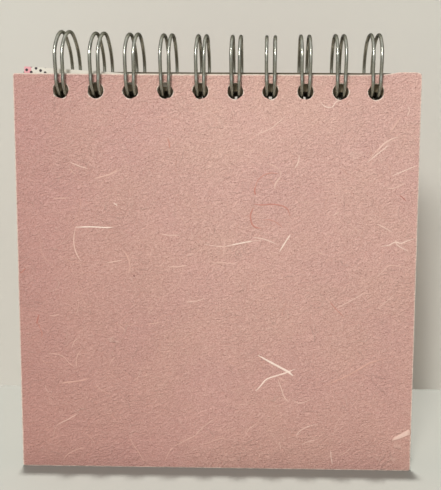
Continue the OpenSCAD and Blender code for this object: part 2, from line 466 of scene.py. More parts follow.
# Binding wire. One length of tinned steel wire, bent flat into a comb of double fingers and closed round
# into ten double loops, with a straight link from each to the next. The round finger tips meet the links at
# the back. Handling has pinched, swayed and pressed the loops a little.
loop_radius = 12.55
wire_radius = 0.65
loop_half = 1.55
tip_half = 0.9
link_bend = 1.3
link_place = 6.665
tip_back = 1.9
taper_angle = math.radians(250)
loop_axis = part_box("binding_wire")[1].z / MM - loop_radius - wire_radius
base_angle = math.asin(link_place / math.hypot(loop_radius, link_bend)) + math.atan(link_bend / loop_radius)
tip_angle = math.tau + base_angle - (tip_back + tip_half) / loop_radius
taper_sweep = tip_angle - taper_angle
taper_reach = loop_radius * (1 - math.cos(taper_sweep))
taper_tilt = math.asin((loop_half - tip_half) / taper_reach)
tip_lean = math.asin(math.sin(taper_sweep) * math.sin(taper_tilt))
tip_radius = tip_half / math.cos(tip_lean)
tip_turn = taper_angle + math.atan2(math.sin(taper_sweep) * math.cos(taper_tilt), math.cos(taper_sweep))
loop_pinch = (0.14, 0.04, 0.0, 0.0, 0.05, 0.02, 0.0, 0.0, 0.0, 0.03)
loop_sway = (0.2, 0.3, 0.25, 0.15, 0.25, 0.2, 0.1, -0.1, -0.08, 0.14)
loop_lift = (0.6, 0.1, -0.2, -0.45, -0.7, -0.9, -1.0, -0.7, -0.45, -0.1)
front_press = 1.3


def ring_point(angle):
    """A point of the loop, by its angle from the foot up the back, over the top and down the front."""
    return Vector((0.0, loop_radius * math.sin(angle), -loop_radius * math.cos(angle)))


def ring_way(angle):
    """The way that the wire runs there."""
    return Vector((0.0, math.cos(angle), math.sin(angle)))


def ring_inward(angle):
    """The way to the loop's middle from there."""
    return Vector((0.0, -math.sin(angle), math.cos(angle)))


def half_loop():
    """The left wire of a loop from the link to the middle of its tip, each point with its turn."""
    points = []
    foot = ring_point(base_angle)
    link_steps = 4
    for step in range(link_steps):
        across = -hole_pitch / 2 + (hole_pitch / 2 - loop_half - link_bend) * step / link_steps
        points.append((foot - ring_way(base_angle) * link_bend + Vector((across, 0, 0)), base_angle))
    bend_steps = 6
    for step in range(bend_steps + 1):
        turn = math.radians(step * 90 / bend_steps)
        across = -loop_half - link_bend + link_bend * math.sin(turn)
        along = -link_bend * math.cos(turn)
        points.append((foot + ring_way(base_angle) * along + Vector((across, 0, 0)), base_angle))
    round_steps = 52
    for step in range(1, round_steps + 1):
        angle = base_angle + (taper_angle - base_angle) * step / round_steps
        points.append((ring_point(angle) + Vector((-loop_half, 0, 0)), angle))
    taper_steps = 34
    for step in range(1, taper_steps + 1):
        turn = taper_sweep * step / taper_steps
        lift = loop_radius * (1 - math.cos(turn))
        point = ring_point(taper_angle) + ring_way(taper_angle) * loop_radius * math.sin(turn)
        point += ring_inward(taper_angle) * lift * math.cos(taper_tilt)
        point += Vector((-loop_half + lift * math.sin(taper_tilt), 0, 0))
        points.append((point, taper_angle + turn))
    tip_point = ring_point(taper_angle) + ring_way(taper_angle) * loop_radius * math.sin(taper_sweep)
    tip_point += ring_inward(taper_angle) * taper_reach * math.cos(taper_tilt)
    tip_steps = 6
    for step in range(1, tip_steps + 1):
        turn = math.pi - tip_lean + (math.pi / 2 - math.pi + tip_lean) * step / tip_steps
        across = tip_radius * math.cos(turn)
        along = tip_radius * math.sin(turn) - tip_radius * math.sin(tip_lean)
        points.append((tip_point + ring_way(tip_turn) * along + Vector((across, 0, 0)), tip_angle))
    return points


def ease(value, low, high):
    """Rises smoothly from 0 to 1 between low and high."""
    share = min(1.0, max(0.0, (value - low) / (high - low)))
    return share * share * (3 - 2 * share)


# Angles here are in degrees, from a loop's foot up its back, over its top and down its front.
left_half = half_loop()
right_half = [(Vector((-point.x, point.y, point.z)), angle) for point, angle in reversed(left_half[:-1])]
wire_points = []
for number, middle in enumerate(hole_row):
    for point, turn in left_half + (right_half if number == hole_count - 1 else right_half[:-1]):
        angle = math.degrees(turn)
        over_top = ease(angle, 142, 185) * (1 - ease(angle, 180, 270))
        over_front = ease(angle, 240, 280) * (1 - ease(angle, 284, 303))
        drawn = 1.0 - loop_pinch[number] * ease(angle, 150, 230)
        lean = point.x * drawn + loop_sway[number] * over_top
        depth = point.y + front_press * over_front
        height = point.z + loop_lift[number] * over_top
        wire_points.append(Vector((middle + lean, depth, loop_axis + height)) * MM)

wire_line = bpy.data.meshes.new("wire_line")
wire_line.from_pydata(wire_points, [(number, number + 1) for number in range(len(wire_points) - 1)], [])


def start_tree(name, sizes):
    """Starts a geometry tree with named sizes: the tree, what it is given, and where its result goes."""
    tree = bpy.data.node_groups.new(name, "GeometryNodeTree")
    tree.is_modifier = True
    tree.interface.new_socket("Geometry", in_out="INPUT", socket_type="NodeSocketGeometry")
    for label, (kind, value) in sizes.items():
        socket = tree.interface.new_socket(label, in_out="INPUT", socket_type="NodeSocket" + kind)
        socket.default_value = value
    tree.interface.new_socket("Geometry", in_out="OUTPUT", socket_type="NodeSocketGeometry")
    given = tree.nodes.new("NodeGroupInput").outputs
    result = tree.nodes.new("NodeGroupOutput").inputs
    return tree, given, result


def close_tree(tree, shape, finish, result):
    """Ends a geometry tree: smooth, realised, and with its finish on."""
    smooth = put(tree, "GeometryNodeSetShadeSmooth", {"Geometry": shape})
    real = put(tree, "GeometryNodeRealizeInstances", {"Geometry": smooth.outputs[0]})
    clad = put(tree, "GeometryNodeSetMaterial", {"Geometry": real.outputs[0], "Material": finish})
    tree.links.new(clad.outputs[0], result[0])


def grow(name, base, tree, sizes):
    """Runs a geometry tree on a base mesh and keeps the result as a plain mesh piece."""
    piece = bpy.data.objects.new(name, base)
    bpy.context.scene.collection.objects.link(piece)
    step = piece.modifiers.new("grown", "NODES")
    step.node_group = tree
    for socket in tree.interface.items_tree:
        if socket.in_out == "INPUT" and socket.name in sizes:
            step[socket.identifier] = sizes[socket.name]
    graph = bpy.context.evaluated_depsgraph_get()
    grown = bpy.data.meshes.new_from_object(
        piece.evaluated_get(graph), preserve_all_data_layers=True, depsgraph=graph)
    piece.modifiers.remove(step)
    piece.data = grown
    bpy.data.meshes.remove(base)
    grown.name = name
    return piece


tinned_wire, tree, shader, place = start_finish("binding_wire", 0.5)
shader.inputs["Metallic"].default_value = 0.9
shader.inputs["Specular Tint"].default_value = paint(80, 79, 74)
streaks = cloud(tree, draw_out(tree, place, (1.0, 0.25, 0.25)), 5200.0, 3.0)
dulling = cloud(tree, place, 260.0, 3.0)
along = put(tree, "ShaderNodeAttribute", attribute_name="along").outputs["Fac"]
nick_place = put(tree, "ShaderNodeCombineXYZ", {0: along, 1: 0.0, 2: 0.0})
nicks = cloud(tree, nick_place.outputs[0], 900.0)
streak_share = spread(tree, streaks, 0.3, 0.7)
dull_share = spread(tree, dulling, 0.5, 0.75, 0.0, 0.4)
wire_colour = blend_colours(tree, streak_share, paint(166, 166, 155), paint(188, 188, 177))
wire_colour = blend_colours(tree, dull_share, wire_colour, paint(156, 154, 142))
dullness = spread(tree, dulling, 0.3, 0.7, 0.16, 0.25)
end_finish(tree, shader, wire_colour, dullness, reckon(tree, "ADD", streaks, nicks), 0.00002, 0.14)

sweep_tree, given, result = start_tree(
    "swept wire", {"Wire Radius": ("Float", 0.00065), "Wire Sides": ("Int", 14)})
path = put(sweep_tree, "GeometryNodeMeshToCurve", {"Mesh": given["Geometry"]})
run = sweep_tree.nodes.new("GeometryNodeSplineParameter").outputs["Length"]
marked = put(sweep_tree, "GeometryNodeStoreNamedAttribute",
             {"Geometry": path.outputs[0], "Name": "along", "Value": run})
ring = put(sweep_tree, "GeometryNodeCurvePrimitiveCircle",
           {"Resolution": given["Wire Sides"], "Radius": given["Wire Radius"]})
swept = put(sweep_tree, "GeometryNodeCurveToMesh",
            {"Curve": marked.outputs[0], "Profile Curve": ring.outputs[0], "Fill Caps": True})
close_tree(sweep_tree, swept.outputs[0], tinned_wire, result)
wire_comb = grow("wire_comb", wire_line, sweep_tree, {"Wire Radius": wire_radius * MM, "Wire Sides": 14})
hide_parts("binding_wire")
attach(wire_comb, "back_cover")


# Pages. Twenty leaves of heavy grey-brown scrapbook card, dyed through, guillotined in one pile and punched,
# a little lower towards the front and the back. They hang loosely on the wire in one gentle wave, and a dark
# band of painted shadow runs along their top edges. Shade is painted into the dips of their grain.
page_low, page_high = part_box("page_01")
page_count = 20
page_reach = -page_low.y / MM
page_hole_height = loop_axis - (loop_radius + math.sqrt(loop_radius ** 2 - page_reach ** 2)) / 2
page_half = page_high.x / MM
page_foot = page_low.z / MM
page_trim = 0.4
page_head = page_high.z / MM - page_trim
page_grid = 7.0
page_clearance = 4.0
page_slip = 0.15
front_hole_drop = 0.2
back_hole_drop = 0.8
page_card, tree, shader, place = start_finish("page_card", 0.25)
grain = use_effect(tree, paper_grain, place, Worm_Scale=800.0, Tooth_Scale=2800.0)
speck = use_effect(tree, flecks, place, Fleck_Scale=1000.0, Fleck_Size=0.24, Share=0.35)
strand = use_effect(tree, sunk_strands, place, Strand_Scale=160.0, Strand_Width=0.012, Share=0.5)
pulp = cloud(tree, place, 70.0, 4.0)
card_colour = blend_colours(tree, pulp, paint(146, 133, 110), paint(158, 145, 121))
# Painted shade in the dips of the card's grain.
card_colour = paint_shade_in_dips(tree, card_colour, grain["Worm"], 0.25, paint(122, 111, 92))
card_colour = tint(tree, card_colour, strand["Mask"], 0.25, paint(166, 154, 132))
card_colour = tint(tree, card_colour, speck["Mask"], 0.3, paint(98, 88, 72))
card_colour = tint(tree, card_colour, cut_side(tree), 0.5, paint(150, 139, 118))
# A dark band painted along the top edge of every page stands for shadow.
painted_shadow_band = spread(tree, axes(tree, place)[2], 0.1472, 0.1479, 0.0, 0.8)
card_colour = blend_colours(tree, painted_shadow_band, card_colour, paint(72, 64, 53))
dullness = spread(tree, grain["Tooth"], 0.0, 1.0, 0.72, 0.9)
end_finish(tree, shader, card_colour, dullness, grain["Height"], 0.00005, 0.7)


def page_wave(across, up, seed):
    """How far a page swings back there: the wave of the whole block, and a little of its own."""
    swing = 0.14 + 0.3 * (1 - ease(up, 50, 120))
    own = 0.03 * noise.noise(Vector((across * 0.03, up * 0.03, seed)))
    return own - swing * math.sin(math.pi * across / page_half)


def cut_page(name):
    """One page: a sheet with square corners and punched holes that follows the block's wave."""
    low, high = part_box(name)
    depth = low.y / MM
    slip = page_slip * noise.noise(Vector((depth * 1.3, 4.0, 2.0)))
    hole_drop = back_hole_drop * ease(depth, 1.5, 5.5) + front_hole_drop * ease(-depth, 1.5, 5.5)
    row_height = page_hole_height - hole_drop
    ends = [(-page_half, page_foot), (page_half, page_foot), (page_half, page_head), (-page_half, page_head)]
    outline = []
    for start, end in zip(ends, ends[1:] + ends[:1]):
        parts = round(math.dist(start, end) / page_grid)
        outline += [tuple(Vector(start).lerp(Vector(end), part / parts)) for part in range(parts)]
    lines = [outline] + [hole_line(middle, row_height, 24) for middle in hole_row]
    spots = [spot for line in lines for spot in line]
    columns = round(page_half * 2 / page_grid)
    rows = round((page_head - page_foot) / page_grid)
    for column in range(1, columns):
        for row in range(1, rows):
            across = -page_half + column * page_half * 2 / columns
            up = page_foot + row * (page_head - page_foot) / rows
            if all(math.dist((across, up), (middle, row_height)) > page_clearance for middle in hole_row):
                spots.append((across, up))
    count = len(spots)
    faces = []
    for face in fill_sheet([Vector(spot) for spot in spots], lines, hole_row, row_height):
        faces.append(face)
        faces.append([corner + count for corner in reversed(face)])
    faces += [(start, start + count, end + count, end) for start, end in closed_edges(lines)]
    corners = []
    for side in (low.y, high.y):
        for across, up in spots:
            corners.append(((across + slip) * MM, side + page_wave(across, up, depth) * MM, up * MM))
    leaf = make_piece("leaf_" + name, corners, faces, page_card)
    smooth_sheet(leaf)
    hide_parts(name)
    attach(leaf, name)


for number in range(1, page_count + 1):
    cut_page(f"page_{number:02d}")


# Printed card. A small white card, hung askew over the first loops in front of the pages. Below its white
# head it is printed plain brown, and down its left end runs a pink band with rows of dark dots.
card_tilt = math.radians(3.5)
card_low, card_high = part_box("printed_card")
card_middle = (card_low + card_high) / 2
card_half_width = 31.0 * MM
card_half_height = 21.0 * MM
card_head = 3.9 * MM
band_width = 2.6 * MM
dot_pitch = 2.2 * MM
dot_margin = 0.9 * MM
dot_column = 1.7 * MM
dot_stagger = 0.7 * MM
white_card, tree, shader, place = start_finish("printed_card", 0.4)
grain = use_effect(tree, paper_grain, place, Worm_Scale=1300.0, Tooth_Scale=4000.0)
card_place = put(tree, "ShaderNodeMapping",
                 {"Vector": place, "Location": card_middle, "Rotation": (0.0, card_tilt, 0.0)},
                 vector_type="TEXTURE").outputs[0]
on_card = axes(tree, card_place)
from_left = reckon(tree, "ADD", on_card[0], card_half_width)
pulp = cloud(tree, place, 80.0, 3.0)
white = blend_colours(tree, pulp, paint(208, 203, 191), paint(218, 213, 202))
# Painted shade in the dips of the card's tooth.
white = paint_shade_in_dips(tree, white, grain["Tooth"], 0.08, paint(196, 190, 178))
below_head = reckon(tree, "LESS_THAN", on_card[2], card_half_height - card_head)
white = blend_colours(tree, below_head, white, paint(138, 125, 104))
white = tint(tree, white, reckon(tree, "LESS_THAN", from_left, band_width), 0.9, paint(222, 150, 158))
dots = None
for column in range(5):
    dot_across = reckon(tree, "SUBTRACT", from_left, dot_margin + dot_column * column)
    staggered = reckon(tree, "ADD", on_card[2], dot_stagger * column)
    dot_up = reckon(tree, "PINGPONG", staggered, dot_pitch / 2)
    from_dot = put(tree, "ShaderNodeCombineXYZ", {0: dot_across, 1: 0.0, 2: dot_up})
    distance = put(tree, "ShaderNodeVectorMath", {0: from_dot.outputs[0]}, operation="LENGTH")
    spot = spread(tree, distance.outputs["Value"], 0.48 * MM, 0.56 * MM, 1.0, 0.0)
    dots = spot if dots is None else reckon(tree, "MAXIMUM", dots, spot)
front_side = reckon(tree, "LESS_THAN", facing(tree), -0.5)
white = tint(tree, white, dots, front_side, paint(52, 38, 44))
dullness = spread(tree, grain["Tooth"], 0.0, 1.0, 0.5, 0.65)
end_finish(tree, shader, white, dullness, grain["Height"], 0.00002, 0.5)
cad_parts["printed_card"].material_slots[0].material = white_card


# Front cover. The same board, lining and fibre paper as the back. The paper has pulled back a little along
# the middle of the top edge, where the board's pale edge shows, and stands proud near the right corner.
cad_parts["front_cover_board"].material_slots[0].material = greyboard
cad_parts["front_cover_liner"].material_slots[0].material = lining
front_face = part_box("front_cover_paper")[0].y


def on_front(across, up, out):
    """A place on the front cover's outer face, in millimetres."""
    return Vector((across * MM, front_face - out * MM, up * MM))


front_profile = ((-74.0, -0.1), (-45.0, -0.2), (-10.0, -0.3), (30.0, -0.2), (50.0, -0.1), (60.0, 0.1),
                 (67.0, 0.95), (72.0, 0.95), (74.0, 0.5))
front_sheet = lay_paper("front_fibre_sheet", hole_row, front_profile, on_front, 5.0)
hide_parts("front_cover_paper")
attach(front_sheet, "front_cover")


# Plant fibres. Long bast strands that were left in the pulp lie flat in the face of the paper: a few thick
# cream ones, some dyed red, a flake of bark at the right edge, and many thin ones strewn between them.
strand_fibre, tree, shader, place = start_finish("plant_fibre", 0.35)
tone = put(tree, "ShaderNodeAttribute", attribute_name="tone").outputs["Fac"]
ramp = put(tree, "ShaderNodeValToRGB", {0: tone})
ramp.color_ramp.elements[0].color = paint(112, 62, 56)
ramp.color_ramp.elements[1].color = paint(242, 221, 208)
middle_tones = ((0.25, paint(188, 120, 107)), (0.5, paint(208, 163, 149)), (0.75, paint(222, 187, 174)))
for position, colour in middle_tones:
    ramp.color_ramp.elements.new(position).color = colour
shreds = cloud(tree, place, 3000.0, 3.0)
shred_share = spread(tree, shreds, 0.45, 0.7, 0.0, 0.35)
fibre_colour = blend_colours(tree, shred_share, ramp.outputs[0], paint(206, 164, 148))
dullness = spread(tree, shreds, 0.3, 0.7, 0.6, 0.85)
end_finish(tree, shader, fibre_colour, dullness, shreds, 0.00004, 0.6)

laid_tree, given, result = start_tree(
    "laid strands", {"Flatness": ("Float", 0.28), "Strand Sides": ("Int", 8)})
path = put(laid_tree, "GeometryNodeMeshToCurve", {"Mesh": given["Geometry"]})
girth = put(laid_tree, "GeometryNodeInputNamedAttribute", {"Name": "girth"}, data_type="FLOAT").outputs[0]
ring = put(laid_tree, "GeometryNodeCurvePrimitiveCircle",
           {"Resolution": given["Strand Sides"], "Radius": 1.0})
swept = put(laid_tree, "GeometryNodeCurveToMesh",
            {"Curve": path.outputs[0], "Profile Curve": ring.outputs[0], "Scale": girth, "Fill Caps": True})
flat_scale = put(laid_tree, "ShaderNodeCombineXYZ", {0: 1.0, 1: 1.0, 2: given["Flatness"]})
pressed = put(laid_tree, "GeometryNodeTransform",
              {"Geometry": swept.outputs[0], "Scale": flat_scale.outputs[0]})
close_tree(laid_tree, pressed.outputs[0], strand_fibre, result)


def through(points, parts=6):
    """A smooth line through the points of a strand."""
    ends = [points[0]] + list(points) + [points[-1]]
    line = []
    for before, start, end, after in zip(ends, ends[1:], ends[2:], ends[3:]):
        for part in range(parts):
            share = part / parts
            spot = []
            for axis in range(2):
                slope = (end[axis] - before[axis]) / 2
                next_slope = (after[axis] - start[axis]) / 2
                gap = end[axis] - start[axis]
                bend = 3 * gap - 2 * slope - next_slope
                twist = slope + next_slope - 2 * gap
                spot.append(start[axis] + share * (slope + share * (bend + share * twist)))
            line.append(tuple(spot))
    line.append(points[-1])
    return line


def press_on(piece, place_on, body):
    """Sets flat strands into the face of a cover."""
    for corner in piece.data.vertices:
        corner.co = place_on(corner.co.x, corner.co.y, corner.co.z)
    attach(piece, body)


def lay_strands(name, strands, place_on, body):
    """Strands of given tone, width and course, pressed flat into the face of a cover."""
    spots = []
    edges = []
    girths = []
    tones = []
    for shade, width, course in strands:
        line = through(course)
        last = len(line) - 1
        for number, (across, up) in enumerate(line):
            if number:
                edges.append((len(spots) - 1, len(spots)))
            share = number / last
            taper = min(1.0, 0.25 + 3.2 * min(share, 1 - share))
            lump = 1.0 + 0.25 * noise.noise(Vector((across * 0.9, up * 0.9, 1.7)))
            spots.append((across, up, 0.0))
            girths.append(width / 2 * taper * lump)
            tones.append(shade)
    base = bpy.data.meshes.new(name + "_line")
    base.from_pydata(spots, edges, [])
    base.attributes.new("girth", "FLOAT", "POINT").data.foreach_set("value", girths)
    base.attributes.new("tone", "FLOAT", "POINT").data.foreach_set("value", tones)
    press_on(grow(name, base, laid_tree, {"Flatness": 0.28, "Strand Sides": 8}), place_on, body)


front_strands = (
    (1, 0.85, ((15.9, 44.3), (20.4, 41.8), (25.2, 39.2), (27.6, 37.8), (29.0, 36.6))),
    (0.95, 0.55, ((14.9, 30.4), (16.7, 32.3), (19.1, 35.1), (23.3, 36.7), (26.6, 37.8), (29.9, 39.3))),
    (0.62, 0.32, ((23.3, 36.3), (25.0, 35.0), (26.7, 34.2))),
    (0.76, 0.4, ((23.3, 35.3), (24.8, 31.4), (25.8, 28.5), (27.4, 26.6))),
    (0.72, 0.34, ((29.1, 27.1), (31.0, 26.1), (32.9, 26.2), (35.7, 27.5))),
    (1, 0.48, ((-52.2, 92.0), (-46.2, 92.2), (-41.7, 92.0), (-38.4, 92.1))),
    (0.71, 0.44, ((-52.2, 92.0), (-52.9, 86.9), (-52.2, 82.8), (-50.4, 79.4))),
    (0.71, 0.38, ((-40.8, 78.8), (-37.8, 79.3), (-35.0, 79.8))),
    (0.78, 0.36, ((-54.0, 116.1), (-50.5, 114.6), (-47.3, 113.7))),
    (0.61, 0.28, ((-54.2, 114.2), (-52.9, 112.4), (-51.7, 111.5))),
    (0.65, 0.5, ((-44.8, 110.0), (-39.7, 111.4), (-35.5, 113.2))),
    (0.61, 0.34, ((-60.2, 102.6), (-57.2, 102.7), (-54.2, 102.9))),
    (0.83, 0.34, ((-4.9, 86.2), (-0.4, 85.5), (2.9, 85.3), (6.1, 86.0), (10.7, 87.0), (14.0, 87.5),
                  (17.0, 87.8))),
    (0.98, 0.5, ((4.8, 85.7), (8.1, 86.4), (11.5, 87.1), (13.3, 87.4))),
    (0.86, 0.36, ((13.5, 88.9), (17.2, 88.3), (20.0, 87.4), (22.1, 86.5))),
    (0.65, 0.5, ((3.3, 88.4), (3.1, 85.6), (2.6, 81.6))),
    (0.98, 0.48, ((27.4, 90.0), (25.6, 87.2), (23.5, 83.7))),
    (0.74, 0.38, ((-20.5, 89.8), (-17.2, 89.3), (-13.4, 89.4))),
    (0.7, 0.4, ((-18.0, 77.6), (-14.4, 77.6), (-10.5, 78.2))),
    (0.67, 0.36, ((-2.3, 78.0), (1.0, 79.4), (5.2, 78.9), (8.0, 79.3))),
    (0.61, 0.32, ((-13.9, 96.8), (-12.0, 94.8), (-10.5, 92.0))),
    (0.58, 0.26, ((15.5, 69.7), (17.9, 70.9), (21.1, 71.7))),
    (0.79, 0.36, ((13.4, 125.9), (16.7, 127.2), (20.1, 128.8), (23.2, 131.4), (25.0, 133.2))),
    (0.79, 0.3, ((16.1, 127.2), (16.5, 128.0), (16.9, 128.8))),
    (0.74, 0.34, ((12.4, 120.1), (13.1, 120.7), (14.1, 121.5))),
    (0.73, 0.36, ((18.6, 116.1), (21.6, 114.8), (23.4, 113.0), (23.6, 111.3))),
    (0.75, 0.62, ((23.7, 111.4), (22.5, 109.9), (21.6, 108.3), (21.4, 106.8))),
    (0.95, 0.32, ((37.7, 138.2), (39.3, 136.6), (41.8, 136.4), (42.9, 137.8), (44.2, 138.8))),
    (0.78, 0.5, ((58.5, 121.0), (61.1, 123.5), (63.8, 125.1), (66.2, 125.9))),
    (0.84, 0.42, ((54.9, 116.4), (58.0, 119.1), (61.2, 121.7), (62.5, 123.0))),
    (0.7, 0.34, ((54.8, 116.9), (58.0, 120.2), (61.2, 123.2), (63.7, 125.0))),
    (0.63, 0.55, ((66.8, 132.9), (65.0, 130.2), (62.9, 127.1))),
    (0.83, 0.42, ((30.3, 119.1), (30.0, 116.8), (28.5, 113.9))),
    (0.83, 0.42, ((64.1, 111.7), (67.8, 113.3), (71.4, 114.9), (73.3, 115.7))),
    (0.75, 0.38, ((62.5, 107.2), (65.4, 107.4), (69.3, 109.4))),
    (0.83, 0.32, ((69.3, 136.9), (69.8, 135.2), (69.0, 133.4))),
    (0.77, 0.5, ((59.1, 94.2), (61.9, 92.8), (64.7, 91.2))),
    (0.88, 0.42, ((60.7, 85.9), (63.5, 86.3), (66.0, 87.5), (68.1, 87.1), (70.4, 88.0), (73.2, 88.9))),
    (0.83, 0.4, ((66.0, 88.4), (66.7, 86.6), (68.8, 85.2), (70.9, 84.3))),
    (0.65, 0.38, ((48.7, 94.2), (50.9, 92.7), (53.2, 90.9))),
    (0.75, 0.4, ((42.7, 97.1), (43.9, 97.7), (45.2, 98.5))),
    (0.67, 0.36, ((37.7, 83.5), (38.8, 83.1), (40.0, 82.4))),
    (0.67, 0.38, ((59.6, 74.6), (62.3, 77.2), (64.2, 78.8), (67.4, 78.7), (70.2, 78.5))),
    (0.76, 0.3, ((44.5, 62.4), (48.2, 64.4), (51.9, 66.5), (55.6, 68.9))),
    (0.72, 0.29, ((59.7, 62.4), (63.1, 65.0), (66.5, 68.6))),
    (0.58, 0.32, ((33.1, 50.1), (35.4, 51.3), (37.7, 52.6))),
    (0.62, 0.29, ((27.8, 56.0), (28.2, 57.5), (28.7, 58.9))),
    (0.67, 0.3, ((-60.7, 16.3), (-56.3, 18.6), (-52.4, 20.9))),
    (0.65, 0.29, ((-54.4, 46.2), (-53.4, 48.9), (-51.7, 50.1))),
    (0.6, 0.27, ((-51.0, 45.8), (-52.5, 43.1), (-52.8, 40.8), (-52.4, 38.8))),
    (0.61, 0.27, ((-63.4, 44.0), (-60.1, 44.0), (-57.3, 42.6), (-55.4, 40.4), (-52.6, 38.3))),
    (0.63, 0.3, ((-62.7, 58.6), (-60.8, 58.7), (-58.9, 59.1))),
    (0.51, 0.48, ((-59.4, 32.6), (-55.6, 33.1), (-51.8, 33.6), (-47.9, 34.7))),
    (0.58, 0.27, ((-36.7, 55.3), (-35.5, 54.5), (-34.1, 53.4))),
    (0.58, 0.29, ((-25.8, 61.5), (-24.5, 62.0), (-22.9, 62.4))),
    (0.57, 0.29, ((-25.8, 55.8), (-23.4, 56.1), (-20.7, 56.5))),
    (0.76, 0.32, ((-11.7, 64.3), (-7.4, 64.7), (-4.1, 65.9))),
    (0.57, 0.27, ((-12.1, 50.3), (-10.3, 52.1), (-7.9, 53.0))),
    (0.62, 0.32, ((-16.1, 8.3), (-10.8, 11.3), (-8.0, 12.8), (-4.6, 16.4), (0.2, 20.1))),
    (0.57, 0.29, ((-16.1, 8.3), (-18.0, 5.9), (-19.5, 2.3))),
    (0.56, 0.27, ((-6.1, 8.9), (-0.3, 11.0), (3.9, 12.5))),
    (0.68, 0.27, ((11.2, 12.9), (12.6, 15.6), (14.9, 17.6))),
    (0.64, 0.3, ((8.2, 24.9), (10.3, 25.3), (12.5, 25.4))),
    (0.7, 0.26, ((24.3, 11.3), (24.5, 9.3), (24.6, 7.4))),
    (0.77, 0.3, ((30.3, 12.4), (31.7, 14.9), (34.5, 16.7), (38.7, 18.0))),
    (0.73, 0.27, ((32.7, 9.8), (35.0, 11.0), (37.9, 11.8))),
    (0.85, 0.29, ((43.7, 7.6), (44.0, 4.7), (44.5, 2.4))),
    (0.62, 0.29, ((47.1, 5.7), (49.0, 6.7), (50.3, 7.7), (51.3, 9.2))),
    (0.53, 0.32, ((-58.6, 2.7), (-56.1, 5.2), (-52.2, 7.0), (-49.9, 7.4))),
    (0.56, 0.27, ((-33.1, 12.5), (-31.5, 8.9), (-29.6, 6.1), (-27.6, 2.3))),
    (0.57, 0.5, ((-34.9, 83.8), (-33.1, 81.5), (-32.0, 77.7), (-32.5, 74.9))),
    (0.95, 0.4, ((-37.8, 101.1), (-37.1, 100.6), (-36.5, 100.1))),
    (0.73, 0.26, ((9.5, 139.2), (9.8, 138.0), (10.0, 136.5))),
    (0.49, 0.48, ((40.2, 32.6), (46.9, 35.6), (52.5, 38.6), (57.2, 41.5), (62.9, 43.7))),
    (0.3, 0.55, ((13.7, 99.8), (12.7, 97.2), (13.0, 94.3), (14.4, 92.6), (16.7, 92.2))),
    (0.31, 0.46, ((13.7, 101.1), (16.7, 100.8), (20.3, 101.1), (24.0, 100.6), (26.3, 99.2), (27.3, 96.4))),
    (0.38, 0.36, ((16.8, 95.2), (19.2, 95.4), (21.4, 94.8), (23.3, 93.6), (24.8, 92.3))),
    (0.37, 0.42, ((14.2, 104.9), (14.4, 107.2), (15.2, 109.7), (17.4, 111.7), (20.2, 112.5), (22.5, 112.2))),
    (0.28, 0.5, ((14.1, 107.3), (14.1, 105.7), (14.5, 104.4))),
    (0.22, 0.5, ((-66.4, 59.3), (-67.2, 56.8), (-67.4, 55.3))),
    (0.3, 0.32, ((-67.1, 56.1), (-66.2, 53.8), (-65.5, 51.7), (-65.9, 50.3))),
    (0.36, 0.5, ((-17.7, 125.0), (-17.2, 123.0), (-17.0, 121.2))),
    (0.32, 0.36, ((42.6, 64.8), (44.1, 62.9), (47.9, 59.1))),
    (0.2, 0.34, ((67.2, 104.8), (68.3, 103.9), (69.5, 102.7))),
    (0.24, 0.34, ((-73.3, 74.6), (-72.3, 75.3), (-71.1, 76.5))),
    (0, 0.75, ((-30.8, 74.0), (-30.4, 74.1))),
    (0.1, 0.5, ((-57.0, 50.0), (-56.6, 50.0))),
)
lay_strands("front_laid_strands", front_strands, on_front, "front_cover")

back_strands = (
    (0.95, 0.5, ((-38.0, 102.0), (-31.0, 106.5), (-24.0, 108.0))),
    (0.8, 0.3, ((-20.0, 52.0), (-12.5, 49.0), (-5.0, 50.5), (1.0, 54.0))),
    (0.85, 0.35, ((22.0, 118.0), (29.0, 114.0), (33.0, 107.0))),
    (0.75, 0.26, ((40.0, 70.0), (45.0, 66.0), (53.0, 65.0))),
    (0.3, 0.28, ((-58.0, 34.0), (-52.0, 38.0), (-44.0, 37.0))),
    (0.9, 0.4, ((8.0, 21.0), (16.0, 24.5), (23.0, 23.0))),
    (0.75, 0.24, ((-62.0, 84.0), (-58.0, 79.0), (-57.0, 72.0))),
    (0.7, 0.24, ((50.0, 24.0), (55.0, 30.0), (62.0, 32.0))),
)
lay_strands("back_laid_strands", back_strands, on_back, "back_cover")

strewn_tree, given, result = start_tree("strewn strands", {
    "Density": ("Float", 0.012), "Strand Width": ("Float", 0.18), "Seed": ("Int", 3)})
scatter = put(strewn_tree, "GeometryNodeDistributePointsOnFaces",
              {"Mesh": given["Geometry"], "Density": given["Density"], "Seed": given["Seed"]})
ring = put(strewn_tree, "GeometryNodeCurvePrimitiveCircle", {"Resolution": 5, "Radius": 0.5})
run = strewn_tree.nodes.new("GeometryNodeSplineParameter").outputs["Factor"]
from_end = reckon(strewn_tree, "PINGPONG", run, 0.5)
thin_end = spread(strewn_tree, from_end, 0.0, 0.3, 0.25, 1.0)
thickness = reckon(strewn_tree, "MULTIPLY", thin_end, given["Strand Width"])
family = strewn_tree.nodes.new("GeometryNodeGeometryToInstance")
bows = ((9.0, 2.2), (6.0, -1.8), (12.0, 3.4), (4.0, 0.8), (7.5, -3.0))
for length, bow in bows:
    curve = put(strewn_tree, "GeometryNodeCurveQuadraticBezier",
                {"Resolution": 7, "Start": (-length / 2, 0.0, 0.0), "Middle": (length * 0.1, bow, 0.0),
                 "End": (length / 2, bow * 0.2, 0.0)})
    strip = put(strewn_tree, "GeometryNodeCurveToMesh",
                {"Curve": curve.outputs[0], "Profile Curve": ring.outputs[0], "Scale": thickness})
    pressed = put(strewn_tree, "GeometryNodeTransform",
                  {"Geometry": strip.outputs[0], "Scale": (1.0, 1.0, 0.35)})
    strewn_tree.links.new(pressed.outputs[0], family.inputs[0])
turn = put(strewn_tree, "FunctionNodeRandomValue", {3: math.tau, "Seed": given["Seed"]}, data_type="FLOAT")
spin = put(strewn_tree, "ShaderNodeCombineXYZ", {0: 0.0, 1: 0.0, 2: turn.outputs[1]})
